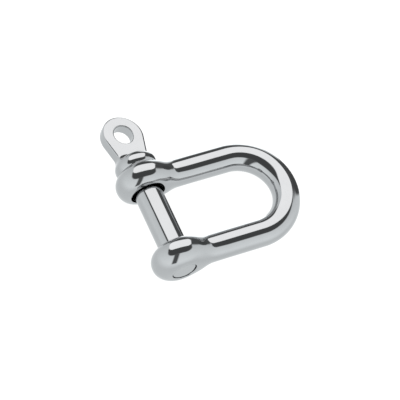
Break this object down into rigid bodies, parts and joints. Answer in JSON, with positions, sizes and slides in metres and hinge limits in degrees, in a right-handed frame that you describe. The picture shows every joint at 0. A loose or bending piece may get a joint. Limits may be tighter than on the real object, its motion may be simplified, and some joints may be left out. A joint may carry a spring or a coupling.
{
  "type": "bow shackle",
  "caption": "Polished D-shaped shackle: a bent round bar with a domed ear at each end, closed by a screw pin with a flat eye.",
  "frame": {"origin": "on the pin's axis, halfway across the jaw", "axes": "+X from the pin to the crown of the bow, +Y along the pin towards its eye, +Z square to the plane of the bow"},
  "size_m": [0.0314, 0.0322, 0.01],
  "materials": {
    "body_steel": "mirror-polished stainless steel",
    "pin_steel": "mirror-polished stainless steel"
  },
  "bodies": {
    "bow": {"shackle_body": "body_steel"},
    "pin": {"screw_pin": "pin_steel"}
  },
  "joints": [
    {"name": "pin_withdraw", "type": "slide", "parent": "bow", "child": "pin", "axis": [0, 1, 0], "range_m": [0, 0.03]}
  ]
}
